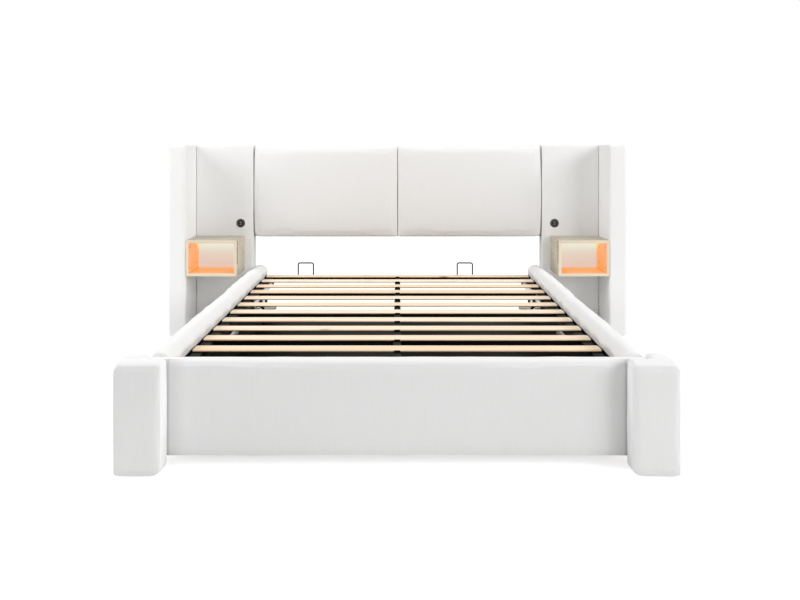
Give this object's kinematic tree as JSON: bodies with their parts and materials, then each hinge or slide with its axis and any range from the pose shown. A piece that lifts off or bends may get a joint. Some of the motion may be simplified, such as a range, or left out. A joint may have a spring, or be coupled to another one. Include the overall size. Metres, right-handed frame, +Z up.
{
  "type": "storage bed",
  "caption": "Upholstered storage bed with winged headboard, lit bedside boxes and a slatted platform that lifts on gas springs over the storage floor.",
  "frame": {"origin": "on the floor, in the middle of the footprint", "axes": "+X to the viewer's right from the foot end, +Y from the foot to the headboard, +Z up"},
  "size_m": [2.532, 2.3, 1.057],
  "materials": {
    "upholstery_fabric": "off-white linen-look weave with fine vertical slubs",
    "black_board": "matt black faced board",
    "frame_timber": "planed pine, unfinished",
    "slat_wood": "pale pine slats with small knots, sealed matt",
    "shelf_laminate": "champagne grey laminate with a cream edge band",
    "dark_screw_steel": "dark screw heads",
    "zinc_steel": "zinc-plated sheet and bolts",
    "light_strip": "frosted diffuser of a warm light strip",
    "socket_gloss_black": "gloss black ring",
    "socket_matt_black": "matt black insert",
    "black_plastic": "moulded black plastic",
    "chromed_rod": "ground and chromed piston rod",
    "cylinder_black_paint": "satin black paint",
    "black_steel": "matt black powder coat"
  },
  "bodies": {
    "root": {"charging_bezels": "socket_gloss_black", "charging_inserts": "socket_matt_black", "floor_bearers": "frame_timber", "floor_glides": "black_plastic", "foot_post_frames": "frame_timber", "foot_post_front_pad_left": "upholstery_fabric", "foot_post_front_pad_right": "upholstery_fabric", "foot_post_side_pad_left": "upholstery_fabric", "foot_post_side_pad_right": "upholstery_fabric", "footboard_board": "black_board", "footboard_pad": "upholstery_fabric", "frame_bolts": "zinc_steel", "headboard_back_panel": "black_board", "headboard_column_left": "upholstery_fabric", "headboard_column_right": "upholstery_fabric", "headboard_cushion_left": "upholstery_fabric", "headboard_cushion_right": "upholstery_fabric", "headboard_wing_left": "upholstery_fabric", "headboard_wing_right": "upholstery_fabric", "ledge_strips": "frame_timber", "lift_base_plate_left": "zinc_steel", "lift_base_plate_right": "zinc_steel", "lift_pivot_pins": "zinc_steel", "light_strips": "light_strip", "nightstand_left_back": "shelf_laminate", "nightstand_left_bottom": "shelf_laminate", "nightstand_left_inner_side": "shelf_laminate", "nightstand_left_outer_side": "shelf_laminate", "nightstand_left_top": "shelf_laminate", "nightstand_right_back": "shelf_laminate", "nightstand_right_bottom": "shelf_laminate", "nightstand_right_inner_side": "shelf_laminate", "nightstand_right_outer_side": "shelf_laminate", "nightstand_right_top": "shelf_laminate", "nightstand_screws": "dark_screw_steel", "rail_brackets": "zinc_steel", "side_rail_boards_left": "black_board", "side_rail_boards_right": "black_board", "side_rail_pad_left_foot": "upholstery_fabric", "side_rail_pad_left_head": "upholstery_fabric", "side_rail_pad_right_foot": "upholstery_fabric", "side_rail_pad_right_head": "upholstery_fabric", "storage_floor_panels": "black_board", "support_legs": "black_plastic"},
    "platform": {"lift_arm_left": "zinc_steel", "lift_arm_right": "zinc_steel", "mattress_stops": "black_steel", "platform_centre_tube": "black_steel", "platform_cross_tubes": "black_steel", "platform_foot_tube": "black_steel", "platform_head_tube": "black_steel", "platform_side_tube_left": "black_steel", "platform_side_tube_right": "black_steel", "slat_centre_clips": "black_plastic", "slat_end_pads": "black_plastic", "slats": "slat_wood"},
    "gas_cylinder_left": {"gas_cylinder_left": "cylinder_black_paint"},
    "gas_cylinder_right": {"gas_cylinder_right": "cylinder_black_paint"},
    "gas_rod_left": {"gas_rod_left": "chromed_rod"},
    "gas_rod_right": {"gas_rod_right": "chromed_rod"}
  },
  "joints": [
    {"name": "platform_lift", "type": "hinge", "parent": "root", "child": "platform", "pos_m": [0, 0.8845, 0.285], "axis": [-1, 0, 0], "range_deg": [0, 36]},
    {"name": "left_cylinder_swing", "type": "hinge", "parent": "root", "child": "gas_cylinder_left", "pos_m": [-0.685, 0.8635, 0.15], "axis": [-1, 0, 0], "range_deg": [0, 33.64]},
    {"name": "left_rod_swing", "type": "hinge", "parent": "platform", "child": "gas_rod_left", "pos_m": [-0.685, 0.3095, 0.247], "axis": [-1, 0, 0], "range_deg": [-2.56, 0]},
    {"name": "right_cylinder_swing", "type": "hinge", "parent": "root", "child": "gas_cylinder_right", "pos_m": [0.685, 0.8635, 0.15], "axis": [-1, 0, 0], "range_deg": [0, 33.64]},
    {"name": "right_rod_swing", "type": "hinge", "parent": "platform", "child": "gas_rod_right", "pos_m": [0.685, 0.3095, 0.247], "axis": [-1, 0, 0], "range_deg": [-2.56, 0]}
  ],
  "couplings": [
    {"joint": "left_cylinder_swing", "follows": "platform_lift", "ratio": 0.93161},
    {"joint": "left_rod_swing", "follows": "platform_lift", "ratio": -0.068393},
    {"joint": "right_cylinder_swing", "follows": "platform_lift", "ratio": 0.93161},
    {"joint": "right_rod_swing", "follows": "platform_lift", "ratio": -0.068393}
  ]
}
